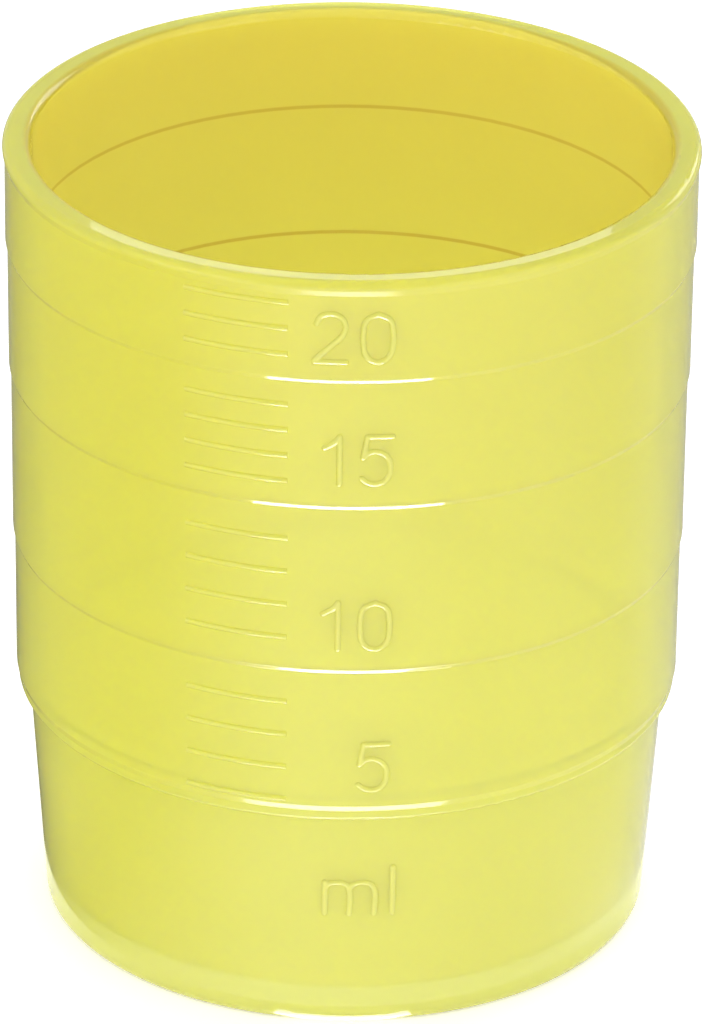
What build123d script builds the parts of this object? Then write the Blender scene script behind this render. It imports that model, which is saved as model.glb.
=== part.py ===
from build123d import *
import os

# Medicine cup moulded in one piece: a thin stepped wall on a tapered base section.
# All sizes in millimetres. +Z is up, the origin is the centre of the underside,
# and the graduation faces -Y.

# Heights, each section's own
shoulder_height = 11.22
shoulder_to_ring_5 = 0.71
shoulder_to_ring_10 = 7.78
ring_10_to_ring_15 = 8.3
ring_15_to_ring_20 = 6.3
ring_20_to_rim = 4.9
lip_depth = 0.56
floor_thickness = 1.4

# Outside radius at the lip, and what each section loses on the way down
lip_radius = 16.0
lip_proud = 0.1
ring_step = 0.1
section_draft = 0.03
shoulder_ledge = 0.49
base_draft = 0.77

# Wall
rim_width = 1.3
upper_wall = 1.2
lower_wall = 1.1
shelf_thickness = 0.7
shelf_fall = 0.25

# Sloped steps and rounded corners
ring_slope = 0.22
wide_slope = 0.32
ring_round = 0.2
lip_round = 0.35
mouth_round = 0.4
shoulder_round = 0.28
shoulder_root = 0.18
base_round = 0.45
floor_round = 0.6
shelf_round = 0.25

# One millilitre marks: raised ribs to the left of the numerals
mark_width = 0.28
mark_proud = 0.08
mark_root = 0.4
mark_start_angle = -117.6
mark_sweep = 17.7
mark_5_below_shoulder = 0.57
marks_between_rings = 4
marks_above_20 = 3

# Heights above the table
ring_5_height = shoulder_height + shoulder_to_ring_5
ring_10_height = shoulder_height + shoulder_to_ring_10
ring_15_height = ring_10_height + ring_10_to_ring_15
ring_20_height = ring_15_height + ring_15_to_ring_20
cup_height = ring_20_height + ring_20_to_rim
lip_underside = cup_height - lip_depth
mark_5_height = shoulder_height - mark_5_below_shoulder
shelf_height = shoulder_height + shelf_thickness

# Outside radii, from the lip down
radius_above_20 = lip_radius - lip_proud
radius_below_20 = radius_above_20 - ring_step
radius_above_15 = radius_below_20 - section_draft
radius_below_15 = radius_above_15 - ring_step
radius_above_10 = radius_below_15 - section_draft
radius_below_10 = radius_above_10 - ring_step
radius_above_5 = radius_below_10 - section_draft
shoulder_radius = radius_above_5 - ring_step
root_radius = shoulder_radius - shoulder_ledge
base_radius = root_radius - base_draft

# Inside radii
mouth_radius = lip_radius - rim_width
shelf_outer_radius = radius_above_5 - upper_wall
shelf_inner_radius = root_radius - lower_wall
floor_share = floor_thickness / shoulder_height
floor_radius = base_radius + base_draft * floor_share - lower_wall


def step_corners(height, slope, radius_below, radius_above):
    """Lower and upper corner of a small sloped step in the outside wall."""
    return [
        (radius_below, height - slope / 2),
        (radius_above, height + slope / 2),
    ]


def nearest_vertex(sketch, corner):
    """Vertex of the sketch that lies on a corner given as radius and height."""
    return sketch.vertices().sort_by_distance((corner[0], corner[1], 0))[0]


step_5 = step_corners(ring_5_height, wide_slope, shoulder_radius, radius_above_5)
step_10 = step_corners(ring_10_height, ring_slope, radius_below_10, radius_above_10)
step_15 = step_corners(ring_15_height, ring_slope, radius_below_15, radius_above_15)
step_20 = step_corners(ring_20_height, ring_slope, radius_below_20, radius_above_20)
step_lip = step_corners(lip_underside, wide_slope, radius_above_20, lip_radius)
steps = step_5 + step_10 + step_15 + step_20 + step_lip

base_corner = (base_radius, 0)
shoulder_root_corner = (root_radius, shoulder_height)
shoulder_corner = (shoulder_radius, shoulder_height)
lip_corner = (lip_radius, cup_height)
mouth_corner = (mouth_radius, cup_height)
shelf_outer_corner = (shelf_outer_radius, shelf_height + shelf_fall)
shelf_inner_corner = (shelf_inner_radius, shelf_height)
floor_corner = (floor_radius, floor_thickness)

outside = [(0, 0), base_corner, shoulder_root_corner, shoulder_corner]
outside += steps
inside = [lip_corner, mouth_corner, shelf_outer_corner, shelf_inner_corner]
inside += [floor_corner, (0, floor_thickness)]

rounds = [(corner, ring_round) for corner in steps]
rounds += [
    (base_corner, base_round),
    (shoulder_root_corner, shoulder_root),
    (shoulder_corner, shoulder_round),
    (lip_corner, lip_round),
    (mouth_corner, mouth_round),
    (shelf_outer_corner, shelf_round),
    (shelf_inner_corner, shelf_round),
    (floor_corner, floor_round),
]

# Marks as height and wall radius, with the height spaced evenly between two lines
mark_zones = [
    (mark_5_height, ring_10_height, radius_above_5, radius_below_10),
    (ring_10_height, ring_15_height, radius_above_10, radius_below_15),
    (ring_15_height, ring_20_height, radius_above_15, radius_below_20),
]
marks = []
for low, high, low_radius, high_radius in mark_zones:
    for number in range(1, marks_between_rings + 1):
        share = number / (marks_between_rings + 1)
        height = low + (high - low) * share
        marks.append((height, low_radius + (high_radius - low_radius) * share))
top_pitch = ring_15_to_ring_20 / (marks_between_rings + 1)
for number in range(1, marks_above_20 + 1):
    marks.append((ring_20_height + top_pitch * number, radius_above_20))

with BuildPart() as medicine_cup:
    with BuildSketch(Plane.XZ) as section:
        with BuildLine():
            Polyline(*outside, *inside, close=True)
        make_face()
        for corner, radius in rounds:
            fillet(nearest_vertex(section, corner), radius)
    revolve(axis=Axis.Z)

    for height, radius in marks:
        with BuildSketch(Plane.XZ.rotated((0, 0, mark_start_angle))):
            with BuildLine():
                foot = (radius, height - mark_width / 2)
                head = (radius, height + mark_width / 2)
                ThreePointArc(foot, (radius + mark_proud, height), head)
                Polyline(
                    head,
                    (radius - mark_root, height + mark_width / 2),
                    (radius - mark_root, height - mark_width / 2),
                    foot,
                )
            make_face()
        revolve(axis=Axis.Z, revolution_arc=mark_sweep)

os.makedirs("parts", exist_ok=True)
medicine_cup.part.label = "medicine_cup"
export_step(medicine_cup.part, "parts/medicine_cup.step")
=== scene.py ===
"""Medicine cup in translucent plastic, with its raised numerals, on a pale studio floor."""

import math

import bmesh
import bpy
from bpy.props import FloatProperty, FloatVectorProperty, IntProperty, PointerProperty
from mathutils import Matrix, Vector
from mathutils.bvhtree import BVHTree


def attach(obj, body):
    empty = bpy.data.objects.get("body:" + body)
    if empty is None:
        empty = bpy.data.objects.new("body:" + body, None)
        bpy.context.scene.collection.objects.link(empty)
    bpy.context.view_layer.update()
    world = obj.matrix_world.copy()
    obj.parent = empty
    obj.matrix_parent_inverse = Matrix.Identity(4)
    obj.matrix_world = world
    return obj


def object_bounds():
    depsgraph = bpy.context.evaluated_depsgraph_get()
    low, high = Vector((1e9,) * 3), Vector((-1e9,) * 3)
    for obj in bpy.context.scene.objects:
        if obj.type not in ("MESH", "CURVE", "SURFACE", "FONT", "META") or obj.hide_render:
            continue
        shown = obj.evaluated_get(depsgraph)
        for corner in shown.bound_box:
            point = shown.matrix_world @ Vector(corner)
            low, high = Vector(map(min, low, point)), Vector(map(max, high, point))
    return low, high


bl_info = {
    "name": "Medicine Cup",
    "version": (1, 0, 0),
    "blender": (4, 5, 0),
    "location": "3D View > Sidebar > Medicine Cup",
    "description": "Translucent medicine cup with a moulded graduation",
    "category": "Object",
}

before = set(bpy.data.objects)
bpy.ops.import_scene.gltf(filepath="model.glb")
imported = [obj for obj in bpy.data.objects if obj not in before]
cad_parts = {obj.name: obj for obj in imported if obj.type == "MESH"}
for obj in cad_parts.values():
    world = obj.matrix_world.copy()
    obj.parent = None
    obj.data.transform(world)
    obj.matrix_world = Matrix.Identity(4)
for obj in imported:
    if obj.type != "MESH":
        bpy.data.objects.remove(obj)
cad_low, cad_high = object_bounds()
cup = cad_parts["medicine_cup"]

MILLIMETRE = 0.001

# Heights of the dark lines painted on the inside wall, a painted shade where the outside rings
# show through, in millimetres
PAINTED_RING_HEIGHTS = (33.6, 27.1, 18.8)

# Radii between the inside and the outside of the wall, in millimetres
UPPER_MIDDLE = 15.0
LOWER_MIDDLE = 13.7

# Heights that bound the inside: the floor's middle, the shoulder and the fade to the darker
# painted shade at the mouth
FLOOR_MIDDLE = 0.7
SHOULDER_FOOT = 11.3
MOUTH_SHADE_FADE = (18.0, 37.0)

# Glow of the gloss card, a painted reflection of the table, by the angle in degrees to the right
# of the front
CARD_LEVELS = (
    (-180.0, 0.2), (-130.0, 0.08), (-70.0, 0.08), (-5.0, 1.0), (55.0, 0.7), (95.0, 0.4),
    (150.0, 0.22), (180.0, 0.2),
)

# Half the width of the fade from the outside colour to the inside one, in millimetres
INSIDE_FADE = 0.1

# Share of a painted ring line's half width at which it starts to fade, and at which it is gone
RING_FADE = (0.8, 1.6)

# Marks of moulding: how fine the clouds and the flow lines are, and how strong
CLOUD_SCALE = 110.0
FLOW_SCALE = 500.0
FLOW_STRETCH = 0.3
FLOW_ROUGHNESS = 0.03
FLOW_STRENGTH = 0.15
FLOW_DEPTH = 0.00002
PLASTIC_IOR = 1.49

# Ring of card round the foot, in metres
CARD_INNER_RADIUS = 0.015
CARD_OUTER_RADIUS = 0.4
CARD_HEIGHT = 0.0003
CARD_SIDES = 96

# Low lamps round the foot, in metres and degrees to the right of the front
BOUNCE_SIZE = (0.04, 0.007)
BOUNCE_HEIGHT = 0.005
BOUNCE_RADIUS = 0.034
FOOT_RADIUS = 0.0145
BOUNCE_TURNS = (("left", -75.0), ("front", 0.0), ("right", 75.0))

# Large lamps that light the whole cup, in metres
CUP_MIDDLE = (0.0, 0.0, 0.018)
LEFT_KEY = {
    "size": (0.4, 0.2), "place": (-0.45, -0.4, 0.11), "aim": CUP_MIDDLE,
    "colour": (1.0, 0.93, 0.78),
}
RIGHT_KEY = {"size": (0.4, 0.2), "place": (0.45, -0.4, 0.11), "aim": CUP_MIDDLE}
TOP_LAMP = {
    "size": (0.3, 0.3), "place": (0.0, 0.15, 0.5), "aim": CUP_MIDDLE, "mirrored": False,
}
RIM_LAMP = {"size": (0.25, 0.2), "place": (0.3, 0.36, 0.22), "aim": CUP_MIDDLE}

# Small lamps that only the cup's gloss mirrors, in metres
TABLE_LAMP = {
    "size": (0.026, 0.011), "place": (0.0, -0.0245, 0.0005), "aim": (0.0, -0.0245, 0.1),
    "lights": False, "spread": 70.0,
}
LIP_LAMP = {
    "size": (0.03, 0.006), "place": (-0.0035, -0.04, 0.0005), "aim": (-0.0035, -0.04, 0.1),
    "lights": False, "spread": 100.0,
}
MOUTH_LAMP = {
    "size": (0.024, 0.005), "place": (0.0, 0.0, 0.0453), "aim": (0.0, -0.0151, 0.0385),
    "lights": False,
}
FOOT_LAMP = {
    "size": (0.0066, 0.0007), "place": (0.0, -0.01415, 0.00003), "aim": (0.0, -0.01415, 0.1),
    "lights": False,
}

# Heights of the numerals' feet above the table, in millimetres
NUMBER_FEET = {"20": 34.6, "15": 28.53, "10": 20.18, "5": 12.92}
UNIT_FOOT = 5.98

# Where the middle of each digit stands, in millimetres to the right of the front
TENS_PLACE = -0.87
ONES_PLACE = 1.27

# Strokes of each digit in a cell one wide and one high, centred on its foot
DIGIT_STROKES = {
    "0": [[(0.0, 1.0), (0.38, 0.88), (0.5, 0.62), (0.5, 0.38), (0.38, 0.12), (0.0, 0.0),
           (-0.38, 0.12), (-0.5, 0.38), (-0.5, 0.62), (-0.38, 0.88), (0.0, 1.0)]],
    "1": [[(-0.15, 0.76), (0.12, 0.85), (0.36, 0.98)], [(0.36, 1.0), (0.36, 0.0)]],
    "2": [[(-0.46, 0.79), (-0.3, 0.95), (0.0, 1.0), (0.3, 0.96), (0.5, 0.8), (0.46, 0.6),
           (0.05, 0.34), (-0.3, 0.15), (-0.54, 0.0)],
          [(-0.54, 0.0), (0.55, 0.0)]],
    "5": [[(0.54, 1.0), (-0.32, 1.0)], [(-0.32, 1.0), (-0.46, 0.56)],
          [(-0.46, 0.56), (-0.25, 0.66), (0.04, 0.68), (0.38, 0.55), (0.47, 0.33),
           (0.34, 0.1), (0.0, 0.0), (-0.3, 0.03), (-0.5, 0.12)]],
}

# Strokes of the unit in millimetres from the front and above its foot
UNIT_STROKES = [
    [(-0.87, 1.7), (-0.87, 0.0)],
    [(-0.87, 1.3), (-0.72, 1.58), (-0.34, 1.7), (0.08, 1.62), (0.25, 1.32), (0.25, 0.0)],
    [(0.25, 1.3), (0.42, 1.58), (0.8, 1.7), (1.22, 1.62), (1.4, 1.32), (1.4, 0.0)],
    [(2.25, 2.48), (2.25, 0.0)],
]


class CupPlasticSettings(bpy.types.PropertyGroup):
    """Colour and finish of the moulded plastic, with the shade and light painted on its inside
    and its numerals.
    """

    colour: FloatVectorProperty(
        name="Colour", description="Colour of the plastic", subtype="COLOR",
        size=4, min=0.0, max=1.0, default=(0.855, 0.872, 0.19, 1.0),
    )
    dense_colour: FloatVectorProperty(
        name="Dense colour", description="Colour where the pigment lies thicker",
        subtype="COLOR", size=4, min=0.0, max=1.0, default=(0.845, 0.842, 0.165, 1.0),
    )
    # Painted shade: the inside gets its own deeper golden copy of the plastic's colour, standing
    # in for the shade and bounced light inside the cup
    inside_shade_colour: FloatVectorProperty(
        name="Inside colour", description="Colour of the plastic inside the cup",
        subtype="COLOR", size=4, min=0.0, max=1.0, default=(0.89, 0.835, 0.18, 1.0),
    )
    # Painted shade: darker still near the mouth
    mouth_shade_colour: FloatVectorProperty(
        name="Mouth colour", description="Colour of the plastic inside, near the mouth",
        subtype="COLOR", size=4, min=0.0, max=1.0, default=(0.77, 0.645, 0.105, 1.0),
    )
    # Painted shade: dark lines on the inside wall where the outside rings show through
    ring_shade_colour: FloatVectorProperty(
        name="Ring colour", description="Colour of a ring seen through the wall",
        subtype="COLOR", size=4, min=0.0, max=1.0, default=(0.62, 0.48, 0.07, 1.0),
    )
    ring_width: FloatProperty(
        name="Ring width", description="Width of a ring seen through the wall",
        unit="LENGTH", min=0.00002, default=0.00014,
    )
    scatter: FloatVectorProperty(
        name="Scatter", description="How far red, green and blue light spread",
        size=3, min=0.0, max=5.0, default=(1.0, 0.9, 0.3),
    )
    scatter_depth: FloatProperty(
        name="Scatter depth", description="How deep light spreads into the wall",
        unit="LENGTH", min=0.0, default=0.003,
    )
    clearness: FloatProperty(
        name="Clearness", description="Share of the light that passes straight on",
        subtype="FACTOR", min=0.0, max=1.0, default=0.49,
    )
    # Painted light: the strokes get a paler copy of the plastic's colour, standing in for the
    # light the plastic scatters through them
    numeral_lit_colour: FloatVectorProperty(
        name="Numeral colour", description="Colour that the raised strokes show",
        subtype="COLOR", size=4, min=0.0, max=1.0, default=(0.88, 0.83, 0.25, 1.0),
    )
    gloss_roughness: FloatProperty(
        name="Roughness", description="Roughness of the moulded surface",
        subtype="FACTOR", min=0.0, max=1.0, default=0.08,
    )


class CupNumeralSettings(bpy.types.PropertyGroup):
    """Sizes of the raised numerals and the unit."""

    digit_height: FloatProperty(
        name="Digit height", description="Height of a digit at its stroke's middle",
        unit="LENGTH", min=0.0005, default=0.00234,
    )
    digit_width: FloatProperty(
        name="Digit width", description="Width of a digit at its stroke's middle",
        unit="LENGTH", min=0.0003, default=0.00132,
    )
    stroke_width: FloatProperty(
        name="Stroke width", description="Width of a stroke at the wall",
        unit="LENGTH", min=0.00005, default=0.00028,
    )
    stroke_proud: FloatProperty(
        name="Stroke height", description="How far a stroke stands off the wall",
        unit="LENGTH", min=0.00001, default=0.00008,
    )
    stroke_root: FloatProperty(
        name="Stroke root", description="How deep a stroke sits in the wall",
        unit="LENGTH", min=0.0, default=0.00005,
    )
    stroke_grain: FloatProperty(
        name="Stroke grain", description="Size of the faces of a stroke",
        unit="LENGTH", min=0.00001, default=0.000035,
    )
    smoothing: IntProperty(
        name="Smoothing", description="Passes that even out a stroke",
        min=0, max=20, default=2,
    )


class CupStageSettings(bpy.types.PropertyGroup):
    """Floor, light and camera round the cup."""

    floor_size: FloatProperty(
        name="Floor size", description="Side of the square floor",
        unit="LENGTH", min=0.5, default=8.0,
    )
    floor_colour: FloatVectorProperty(
        name="Floor colour", description="Colour of the pale floor",
        subtype="COLOR", size=4, min=0.0, max=1.0, default=(0.95, 0.95, 0.95, 1.0),
    )
    floor_glow: FloatProperty(
        name="Floor glow", description="Light the floor adds for the camera alone",
        min=0.0, default=0.3,
    )
    sky_light: FloatProperty(
        name="Sky light", description="Strength of the even light from all round",
        min=0.0, default=0.98,
    )
    sky_mirrored: FloatProperty(
        name="Mirrored sky", description="Strength of the sky in the plastic's gloss",
        min=0.0, default=0.6,
    )
    left_power: FloatProperty(
        name="Left power", description="Power of the large lamp at the front left",
        unit="POWER", min=0.0, default=0.65,
    )
    right_power: FloatProperty(
        name="Right power", description="Power of the large lamp at the front right",
        unit="POWER", min=0.0, default=0.35,
    )
    top_power: FloatProperty(
        name="Top power", description="Power of the lamp above the mouth",
        unit="POWER", min=0.0, default=0.4,
    )
    rim_power: FloatProperty(
        name="Rim power", description="Power of the lamp behind the right side",
        unit="POWER", min=0.0, default=0.4,
    )
    bounce_power: FloatProperty(
        name="Bounce power", description="Power of each low lamp round the foot",
        unit="POWER", min=0.0, default=0.0007,
    )
    table_power: FloatProperty(
        name="Table power", description="Power of the light mirrored by the rings",
        unit="POWER", min=0.0, default=0.0045,
    )
    lip_power: FloatProperty(
        name="Lip power", description="Power of the light mirrored under the lip",
        unit="POWER", min=0.0, default=0.002,
    )
    mouth_power: FloatProperty(
        name="Mouth power", description="Power of the light mirrored by the front of the rim",
        unit="POWER", min=0.0, default=0.0005,
    )
    foot_power: FloatProperty(
        name="Foot power", description="Power of the light mirrored by the foot",
        unit="POWER", min=0.0, default=0.00018,
    )
    # Painted reflection: glow of the card that the gloss mirrors in place of the table
    card_glow: FloatProperty(
        name="Mirrored table", description="Strength of the table in the plastic's gloss",
        min=0.0, default=2.2,
    )
    lens: FloatProperty(
        name="Lens", description="Focal length of the camera in millimetres",
        min=20.0, default=301.62,
    )
    camera_distance: FloatProperty(
        name="Camera distance", description="Distance from the cup's middle",
        unit="LENGTH", min=0.1, default=0.400607,
    )
    camera_height: FloatProperty(
        name="Camera elevation", description="Angle of the camera above the table",
        subtype="ANGLE", default=math.radians(26.3586),
    )
    camera_turn: FloatProperty(
        name="Camera turn", description="How far the camera leans to one side",
        subtype="ANGLE", default=math.radians(0.6483),
    )
    camera_aim: FloatVectorProperty(
        name="Camera aim", description="Point that the camera looks at",
        subtype="TRANSLATION", unit="LENGTH", size=3,
        default=(0.0001417, 0.0, 0.0193415),
    )


def add_mesh_object(name, mesh):
    """Object that shows a mesh, linked to the scene."""
    piece = bpy.data.objects.new(name, mesh)
    bpy.context.scene.collection.objects.link(piece)
    return piece


def make_moulded_surface():
    """Node group of the marks that moulding leaves: cloudy pigment and faint flow lines."""
    group = bpy.data.node_groups.new("moulded_surface", "ShaderNodeTree")
    for name in ("Cloud Scale", "Flow Scale"):
        group.interface.new_socket(name=name, in_out="INPUT", socket_type="NodeSocketFloat")
    for name in ("Cloud", "Flow"):
        group.interface.new_socket(name=name, in_out="OUTPUT", socket_type="NodeSocketFloat")
    nodes = group.nodes
    links = group.links
    given = nodes.new("NodeGroupInput")
    result = nodes.new("NodeGroupOutput")
    place = nodes.new("ShaderNodeTexCoord")
    stretch = nodes.new("ShaderNodeMapping")
    stretch.inputs["Scale"].default_value = (1.0, 1.0, FLOW_STRETCH)
    links.new(place.outputs["Object"], stretch.inputs["Vector"])
    for name, detail in (("Cloud", 2.0), ("Flow", 4.0)):
        noise = nodes.new("ShaderNodeTexNoise")
        noise.inputs["Detail"].default_value = detail
        links.new(stretch.outputs["Vector"], noise.inputs["Vector"])
        links.new(given.outputs[name + " Scale"], noise.inputs["Scale"])
        links.new(noise.outputs["Fac"], result.inputs[name])
    return group


def make_plastic(name, surface, colour, dense_colour, plastic):
    """Softly glossy plastic whose tint, gloss and level vary a little over the surface."""
    material = bpy.data.materials.new(name)
    material.use_nodes = True
    nodes = material.node_tree.nodes
    links = material.node_tree.links
    shader = nodes["Principled BSDF"]
    shader.inputs["IOR"].default_value = PLASTIC_IOR
    shader.inputs["Transmission Weight"].default_value = plastic.clearness
    marks = nodes.new("ShaderNodeGroup")
    marks.node_tree = surface
    marks.inputs["Cloud Scale"].default_value = CLOUD_SCALE
    marks.inputs["Flow Scale"].default_value = FLOW_SCALE
    tint = nodes.new("ShaderNodeMix")
    tint.data_type = "RGBA"
    tint.inputs["A"].default_value = colour
    tint.inputs["B"].default_value = dense_colour
    links.new(marks.outputs["Cloud"], tint.inputs["Factor"])
    links.new(tint.outputs["Result"], shader.inputs["Base Color"])
    rough = nodes.new("ShaderNodeMapRange")
    rough.inputs["To Min"].default_value = plastic.gloss_roughness - FLOW_ROUGHNESS
    rough.inputs["To Max"].default_value = plastic.gloss_roughness + FLOW_ROUGHNESS
    links.new(marks.outputs["Flow"], rough.inputs["Value"])
    links.new(rough.outputs["Result"], shader.inputs["Roughness"])
    bump = nodes.new("ShaderNodeBump")
    bump.inputs["Strength"].default_value = FLOW_STRENGTH
    bump.inputs["Distance"].default_value = FLOW_DEPTH
    links.new(marks.outputs["Flow"], bump.inputs["Height"])
    links.new(bump.outputs["Normal"], shader.inputs["Normal"])
    return material


def combine(nodes, links, operation, first, second):
    """Output of a Math node fed with sockets or plain values."""
    node = nodes.new("ShaderNodeMath")
    node.operation = operation
    for socket, value in zip(node.inputs, (first, second)):
        if isinstance(value, float):
            socket.default_value = value
        else:
            links.new(value, socket)
    return node.outputs["Value"]


def map_range(nodes, links, value, given, wanted):
    """Output of a Map Range node that takes one span of values to another."""
    node = nodes.new("ShaderNodeMapRange")
    links.new(value, node.inputs["Value"])
    node.inputs["From Min"].default_value, node.inputs["From Max"].default_value = given
    node.inputs["To Min"].default_value, node.inputs["To Max"].default_value = wanted
    return node.outputs["Result"]


def paint_inside_shade(material, plastic):
    """Paints shade on the inside: a deeper golden copy of the plastic's colour that darkens
    towards the mouth, and dark lines where the outside rings show through.
    """
    nodes = material.node_tree.nodes
    links = material.node_tree.links
    colour = nodes["Principled BSDF"].inputs["Base Color"]
    place = nodes.new("ShaderNodeTexCoord")
    split = nodes.new("ShaderNodeSeparateXYZ")
    links.new(place.outputs["Object"], split.inputs["Vector"])
    height = combine(nodes, links, "DIVIDE", split.outputs["Z"], MILLIMETRE)
    flat = nodes.new("ShaderNodeCombineXYZ")
    links.new(split.outputs["X"], flat.inputs["X"])
    links.new(split.outputs["Y"], flat.inputs["Y"])
    length = nodes.new("ShaderNodeVectorMath")
    length.operation = "LENGTH"
    links.new(flat.outputs["Vector"], length.inputs[0])
    radius = combine(nodes, links, "DIVIDE", length.outputs["Value"], MILLIMETRE)
    middle = map_range(
        nodes, links, height, (SHOULDER_FOOT, SHOULDER_FOOT + 0.3), (LOWER_MIDDLE, UPPER_MIDDLE)
    )
    deep = combine(nodes, links, "SUBTRACT", middle, radius)
    inside = map_range(nodes, links, deep, (-INSIDE_FADE, INSIDE_FADE), (0.0, 1.0))
    above_floor = combine(nodes, links, "GREATER_THAN", height, FLOOR_MIDDLE)
    inside = combine(nodes, links, "MULTIPLY", inside, above_floor)
    nearest = None
    for ring in PAINTED_RING_HEIGHTS:
        away = combine(nodes, links, "SUBTRACT", height, ring)
        away = combine(nodes, links, "ABSOLUTE", away, 0.0)
        if nearest is not None:
            away = combine(nodes, links, "MINIMUM", nearest, away)
        nearest = away
    half = plastic.ring_width / MILLIMETRE / 2
    fade = (half * RING_FADE[0], half * RING_FADE[1])
    line = map_range(nodes, links, nearest, fade, (1.0, 0.0))
    line = combine(nodes, links, "MULTIPLY", line, inside)
    # Painted shade inside the cup, darkening towards the mouth
    inside_shade_mix = nodes.new("ShaderNodeMix")
    inside_shade_mix.data_type = "RGBA"
    inside_shade_mix.inputs["A"].default_value = plastic.inside_shade_colour
    inside_shade_mix.inputs["B"].default_value = plastic.mouth_shade_colour
    links.new(
        map_range(nodes, links, height, MOUTH_SHADE_FADE, (0.0, 1.0)), inside_shade_mix.inputs["Factor"]
    )
    # Painted shade on the inside, over the plastic's own colour on the outside
    tint = nodes.new("ShaderNodeMix")
    tint.data_type = "RGBA"
    links.new(inside, tint.inputs["Factor"])
    links.new(colour.links[0].from_socket, tint.inputs["A"])
    links.new(inside_shade_mix.outputs["Result"], tint.inputs["B"])
    # Painted shade: dark ring lines on the inside wall
    lined = nodes.new("ShaderNodeMix")
    lined.data_type = "RGBA"
    links.new(line, lined.inputs["Factor"])
    links.new(tint.outputs["Result"], lined.inputs["A"])
    lined.inputs["B"].default_value = plastic.ring_shade_colour
    links.new(lined.outputs["Result"], colour)


def number_strokes(numerals):
    """Every stroke of the numerals and the unit, flat, in millimetres."""
    width = numerals.digit_width / MILLIMETRE
    height = numerals.digit_height / MILLIMETRE
    strokes = []
    for number, foot in NUMBER_FEET.items():
        places = [TENS_PLACE, ONES_PLACE][-len(number):]
        for digit, place in zip(number, places):
            for stroke in DIGIT_STROKES[digit]:
                strokes.append([(place + x * width, foot + z * height) for x, z in stroke])
    for stroke in UNIT_STROKES:
        strokes.append([(x, UNIT_FOOT + z) for x, z in stroke])
    return strokes


def sweep_stroke(bm, stroke, thickness, depth):
    """Adds one stroke to the mesh as a round bar with round ends."""
    path = bpy.data.curves.new("stroke", "CURVE")
    path.dimensions = "3D"
    path.bevel_depth = thickness
    path.bevel_resolution = 4
    path.resolution_u = 8
    path.use_fill_caps = True
    spline = path.splines.new("BEZIER")
    spline.bezier_points.add(len(stroke) - 1)
    for knot, (across, height) in zip(spline.bezier_points, stroke):
        knot.co = (across, depth, height)
        knot.handle_left_type = "AUTO"
        knot.handle_right_type = "AUTO"
    bar = bpy.data.objects.new("stroke", path)
    swept = bpy.data.meshes.new_from_object(bar)
    bm.from_mesh(swept)
    bpy.data.meshes.remove(swept)
    bpy.data.objects.remove(bar)
    bpy.data.curves.remove(path)
    for across, height in (stroke[0], stroke[-1]):
        end = Matrix.Translation((across, depth, height))
        bmesh.ops.create_uvsphere(bm, u_segments=20, v_segments=12, radius=thickness, matrix=end)


def fuse_strokes(bm, grain):
    """Fuses the overlapping bars into one closed skin and gives it back as a bmesh."""
    mesh = bpy.data.meshes.new("strokes")
    bm.to_mesh(mesh)
    bm.free()
    blank = add_mesh_object("strokes", mesh)
    skin = blank.modifiers.new("skin", "REMESH")
    skin.mode = "VOXEL"
    skin.voxel_size = grain
    skin.adaptivity = 0.0
    fused_mesh = bpy.data.meshes.new_from_object(
        blank.evaluated_get(bpy.context.evaluated_depsgraph_get())
    )
    fused = bmesh.new()
    fused.from_mesh(fused_mesh)
    bpy.data.objects.remove(blank)
    bpy.data.meshes.remove(mesh)
    bpy.data.meshes.remove(fused_mesh)
    return fused


def trim_root(bm, depth):
    """Cuts the skin off flat below the wall's surface and closes the cut."""
    everything = bm.verts[:] + bm.edges[:] + bm.faces[:]
    cut = bmesh.ops.bisect_plane(
        bm, geom=everything, plane_co=(0.0, depth, 0.0), plane_no=(0.0, 1.0, 0.0),
        clear_outer=True,
    )
    rim = [item for item in cut["geom_cut"] if isinstance(item, bmesh.types.BMEdge)]
    bmesh.ops.triangle_fill(bm, edges=rim, use_beauty=True)
    bmesh.ops.recalc_face_normals(bm, faces=bm.faces[:])


def wrap_onto_wall(bm, wall, lip_radius):
    """Bends the flat strokes round the cup's outside wall."""
    for vert in bm.verts:
        across, depth, height = vert.co * MILLIMETRE
        angle = across / lip_radius
        outward = Vector((math.sin(angle), -math.cos(angle), 0.0))
        start = outward * lip_radius * 2.0 + Vector((0.0, 0.0, height))
        hit = wall.ray_cast(start, -outward)[0]
        if hit is None:
            raise RuntimeError("A stroke of the graduation misses the wall of the cup")
        radius = Vector((hit.x, hit.y)).length
        angle = across / radius
        outward = Vector((math.sin(angle), -math.cos(angle), 0.0))
        vert.co = outward * (radius - depth) + Vector((0.0, 0.0, height))


class MEDICINE_CUP_OT_plastic(bpy.types.Operator):
    """Give the moulded cup its translucent plastic, with painted shade inside"""

    bl_idname = "medicine_cup.plastic"
    bl_label = "Finish Cup Plastic"

    def execute(self, context):
        plastic = context.scene.medicine_cup_plastic
        surface = make_moulded_surface()
        material = make_plastic(
            "moulded_plastic", surface, plastic.colour, plastic.dense_colour, plastic
        )
        paint_inside_shade(material, plastic)
        shader = material.node_tree.nodes["Principled BSDF"]
        shader.inputs["Subsurface Weight"].default_value = 1.0
        shader.inputs["Subsurface Radius"].default_value = plastic.scatter
        shader.inputs["Subsurface Scale"].default_value = plastic.scatter_depth
        for holder in cup.material_slots:
            holder.material = material
        # The raised strokes: the same plastic with a paler painted colour and no scatter
        make_plastic(
            "numeral_plastic", surface, plastic.numeral_lit_colour, plastic.colour, plastic
        )
        return {"FINISHED"}


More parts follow.
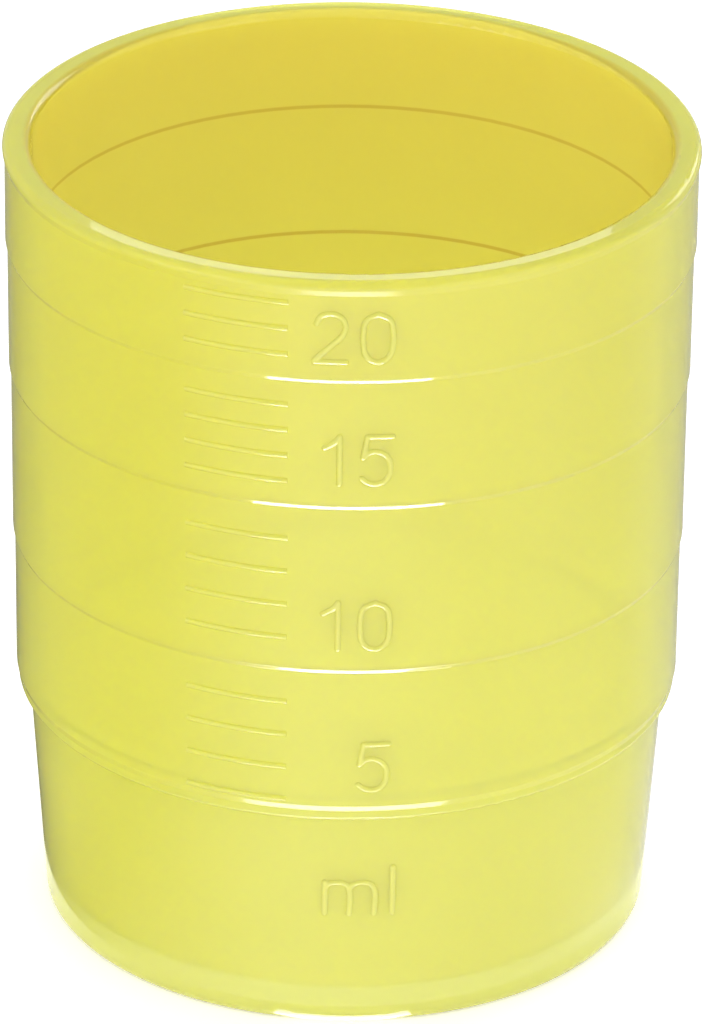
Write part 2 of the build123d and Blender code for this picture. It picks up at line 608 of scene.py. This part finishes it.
class MEDICINE_CUP_OT_numerals(bpy.types.Operator):
    """Raise the numerals and the unit on the front of the cup"""

    bl_idname = "medicine_cup.numerals"
    bl_label = "Raise Numerals"

    def execute(self, context):
        numerals = context.scene.medicine_cup_numerals
        half_width = numerals.stroke_width / 2
        proud = numerals.stroke_proud
        bar_radius = (half_width ** 2 + proud ** 2) / (2 * proud)
        bar_depth = bar_radius - proud
        bm = bmesh.new()
        for stroke in number_strokes(numerals):
            sweep_stroke(bm, stroke, bar_radius / MILLIMETRE, bar_depth / MILLIMETRE)
        bm = fuse_strokes(bm, numerals.stroke_grain / MILLIMETRE)
        for _ in range(numerals.smoothing):
            bmesh.ops.smooth_vert(
                bm, verts=bm.verts[:], factor=0.5, use_axis_x=True, use_axis_y=True,
                use_axis_z=True,
            )
        trim_root(bm, numerals.stroke_root / MILLIMETRE)
        wall = BVHTree.FromObject(cup, context.evaluated_depsgraph_get())
        wrap_onto_wall(bm, wall, cad_high.x)
        for face in bm.faces:
            face.smooth = True
        mesh = bpy.data.meshes.new("numerals")
        bm.to_mesh(mesh)
        bm.free()
        mesh.materials.append(bpy.data.materials["numeral_plastic"])
        piece = add_mesh_object("numerals", mesh)
        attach(piece, "root")
        return {"FINISHED"}


def background_mask(nodes, links, rays):
    """Value that is 1 for rays of the named kinds and 0 for the light of the background."""
    path = nodes.new("ShaderNodeLightPath")
    mask = path.outputs["Is Camera Ray"]
    for name in rays:
        mask = combine(nodes, links, "MAXIMUM", mask, path.outputs[name])
    return mask


def make_sky(stage):
    """World that looks white, lights the cup evenly and is dimmer in its gloss."""
    world = bpy.data.worlds.new("studio")
    world.use_nodes = True
    bpy.context.scene.world = world
    nodes = world.node_tree.nodes
    links = world.node_tree.links
    light = nodes["Background"]
    light.inputs["Color"].default_value = (1.0, 1.0, 1.0, 1.0)
    path = nodes.new("ShaderNodeLightPath")
    mirrored = nodes.new("ShaderNodeMapRange")
    mirrored.inputs["To Min"].default_value = stage.sky_light
    mirrored.inputs["To Max"].default_value = stage.sky_mirrored
    links.new(path.outputs["Is Glossy Ray"], mirrored.inputs["Value"])
    level = nodes.new("ShaderNodeMapRange")
    links.new(mirrored.outputs["Result"], level.inputs["To Min"])
    level.inputs["To Max"].default_value = 1.0
    seen = background_mask(nodes, links, ("Is Transmission Ray",))
    links.new(seen, level.inputs["Value"])
    links.new(level.outputs["Result"], light.inputs["Strength"])


def make_floor(stage):
    """Pale floor that keeps a soft shadow and reads as white beyond it."""
    bm = bmesh.new()
    bmesh.ops.create_grid(bm, x_segments=1, y_segments=1, size=stage.floor_size / 2)
    mesh = bpy.data.meshes.new("floor")
    bm.to_mesh(mesh)
    bm.free()
    floor = add_mesh_object("floor", mesh)
    material = bpy.data.materials.new("studio_floor")
    material.cycles.emission_sampling = "NONE"
    material.use_nodes = True
    nodes = material.node_tree.nodes
    links = material.node_tree.links
    shader = nodes["Principled BSDF"]
    shader.inputs["Base Color"].default_value = stage.floor_colour
    shader.inputs["Roughness"].default_value = 0.9
    shader.inputs["Specular IOR Level"].default_value = 0.0
    shader.inputs["Emission Color"].default_value = (1.0, 1.0, 1.0, 1.0)
    seen = background_mask(nodes, links, ("Is Glossy Ray", "Is Transmission Ray"))
    glow = combine(nodes, links, "MULTIPLY", seen, stage.floor_glow)
    links.new(glow, shader.inputs["Emission Strength"])
    mesh.materials.append(material)


def add_lamp(name, power, size, place, aim, mirrored=True, lights=True, spread=180.0,
             colour=(1.0, 1.0, 1.0)):
    """Soft rectangular lamp that the camera doesn't see."""
    light = bpy.data.lights.new(name, "AREA")
    light.shape = "RECTANGLE"
    light.energy = power
    light.color = colour
    light.size, light.size_y = size
    light.spread = math.radians(spread)
    lamp = bpy.data.objects.new(name, light)
    lamp.location = place
    lamp.rotation_euler = (Vector(aim) - Vector(place)).to_track_quat("-Z", "Y").to_euler()
    lamp.visible_camera = False
    lamp.visible_glossy = mirrored
    lamp.visible_diffuse = lights
    lamp.visible_transmission = lights
    bpy.context.scene.collection.objects.link(lamp)


def add_bounce_lamp(name, power, turn):
    """Low lamp close to the foot, at an angle from the front."""
    outward = Vector((math.sin(turn), -math.cos(turn), 0.0))
    rise = Vector((0.0, 0.0, BOUNCE_HEIGHT))
    place = outward * BOUNCE_RADIUS + rise
    aim = outward * FOOT_RADIUS + rise
    add_lamp(name, power, BOUNCE_SIZE, place, aim, mirrored=False)


def add_gloss_card(stage):
    """Ring of glowing card on the table that only the cup's gloss mirrors, a painted reflection
    that is darker at the left.
    """
    bm = bmesh.new()
    for radius in (CARD_INNER_RADIUS, CARD_OUTER_RADIUS):
        bmesh.ops.create_circle(bm, segments=CARD_SIDES, radius=radius)
    bmesh.ops.bridge_loops(bm, edges=bm.edges[:])
    bmesh.ops.translate(bm, vec=(0.0, 0.0, CARD_HEIGHT), verts=bm.verts[:])
    mesh = bpy.data.meshes.new("gloss_card")
    bm.to_mesh(mesh)
    bm.free()
    card = add_mesh_object("gloss_card", mesh)
    material = bpy.data.materials.new("gloss_card")
    material.cycles.emission_sampling = "NONE"
    material.use_nodes = True
    nodes = material.node_tree.nodes
    links = material.node_tree.links
    shader = nodes["Principled BSDF"]
    shader.inputs["Base Color"].default_value = (0.0, 0.0, 0.0, 1.0)
    shader.inputs["Specular IOR Level"].default_value = 0.0
    shader.inputs["Emission Color"].default_value = (1.0, 1.0, 1.0, 1.0)
    place = nodes.new("ShaderNodeTexCoord")
    split = nodes.new("ShaderNodeSeparateXYZ")
    links.new(place.outputs["Object"], split.inputs["Vector"])
    front = combine(nodes, links, "MULTIPLY", split.outputs["Y"], -1.0)
    turn = combine(nodes, links, "ARCTAN2", split.outputs["X"], front)
    share = map_range(nodes, links, turn, (-math.pi, math.pi), (0.0, 1.0))
    ramp = nodes.new("ShaderNodeValToRGB")
    ramp.color_ramp.interpolation = "EASE"
    stops = ramp.color_ramp.elements
    while len(stops) < len(CARD_LEVELS):
        stops.new(0.5)
    for stop, (angle, level) in zip(stops, CARD_LEVELS):
        stop.position = (angle + 180.0) / 360.0
        stop.color = (level, level, level, 1.0)
    links.new(share, ramp.inputs["Fac"])
    glow = combine(nodes, links, "MULTIPLY", ramp.outputs["Color"], stage.card_glow)
    links.new(glow, shader.inputs["Emission Strength"])
    mesh.materials.append(material)
    card.visible_camera = False
    card.visible_diffuse = False
    card.visible_transmission = False
    card.visible_shadow = False


def add_camera(stage):
    """Camera at the photograph's viewing angle."""
    data = bpy.data.cameras.new("camera")
    data.sensor_width = 36.0
    data.lens = stage.lens
    data.clip_start = 0.01
    data.clip_end = 50.0
    camera = bpy.data.objects.new("camera", data)
    rise = stage.camera_height
    back = Vector((0.0, -math.cos(rise), math.sin(rise)))
    camera.location = Vector(stage.camera_aim) + back * stage.camera_distance
    tilt = Matrix.Rotation(math.pi / 2 - rise, 4, "X")
    lean = Matrix.Rotation(stage.camera_turn, 4, "Z")
    camera.rotation_euler = (tilt @ lean).to_euler()
    bpy.context.scene.collection.objects.link(camera)
    bpy.context.scene.camera = camera


class MEDICINE_CUP_OT_stage(bpy.types.Operator):
    """Set up the pale floor, the soft light and the camera"""

    bl_idname = "medicine_cup.stage"
    bl_label = "Set Up Stage"

    def execute(self, context):
        stage = context.scene.medicine_cup_stage
        context.scene.view_settings.view_transform = "Standard"
        make_sky(stage)
        make_floor(stage)
        add_lamp("left_key", stage.left_power, **LEFT_KEY)
        add_lamp("right_key", stage.right_power, **RIGHT_KEY)
        add_lamp("top", stage.top_power, **TOP_LAMP)
        add_lamp("rim", stage.rim_power, **RIM_LAMP)
        for side, turn in BOUNCE_TURNS:
            add_bounce_lamp(side + "_bounce", stage.bounce_power, math.radians(turn))
        add_lamp("table", stage.table_power, **TABLE_LAMP)
        add_lamp("lip", stage.lip_power, **LIP_LAMP)
        add_lamp("mouth", stage.mouth_power, **MOUTH_LAMP)
        add_lamp("foot", stage.foot_power, **FOOT_LAMP)
        add_gloss_card(stage)
        add_camera(stage)
        return {"FINISHED"}


class MEDICINE_CUP_PT_panel(bpy.types.Panel):
    """Sizes, finish and stage of the medicine cup"""

    bl_idname = "MEDICINE_CUP_PT_panel"
    bl_label = "Medicine Cup"
    bl_space_type = "VIEW_3D"
    bl_region_type = "UI"
    bl_category = "Medicine Cup"

    def draw(self, context):
        scene = context.scene
        steps = (
            ("medicine_cup.plastic", scene.medicine_cup_plastic),
            ("medicine_cup.numerals", scene.medicine_cup_numerals),
            ("medicine_cup.stage", scene.medicine_cup_stage),
        )
        for step, settings in steps:
            box = self.layout.box()
            box.operator(step)
            for name in settings.__annotations__:
                box.prop(settings, name)


CLASSES = (
    CupPlasticSettings,
    CupNumeralSettings,
    CupStageSettings,
    MEDICINE_CUP_OT_plastic,
    MEDICINE_CUP_OT_numerals,
    MEDICINE_CUP_OT_stage,
    MEDICINE_CUP_PT_panel,
)


def register():
    for item in CLASSES:
        bpy.utils.register_class(item)
    bpy.types.Scene.medicine_cup_plastic = PointerProperty(type=CupPlasticSettings)
    bpy.types.Scene.medicine_cup_numerals = PointerProperty(type=CupNumeralSettings)
    bpy.types.Scene.medicine_cup_stage = PointerProperty(type=CupStageSettings)


def unregister():
    del bpy.types.Scene.medicine_cup_stage
    del bpy.types.Scene.medicine_cup_numerals
    del bpy.types.Scene.medicine_cup_plastic
    for item in reversed(CLASSES):
        bpy.utils.unregister_class(item)


def main():
    """Builds the whole cup and its stage."""
    register()
    bpy.ops.medicine_cup.plastic()
    bpy.ops.medicine_cup.numerals()
    bpy.ops.medicine_cup.stage()
    bpy.context.view_layer.update()


if __name__ == "__main__":
    main()
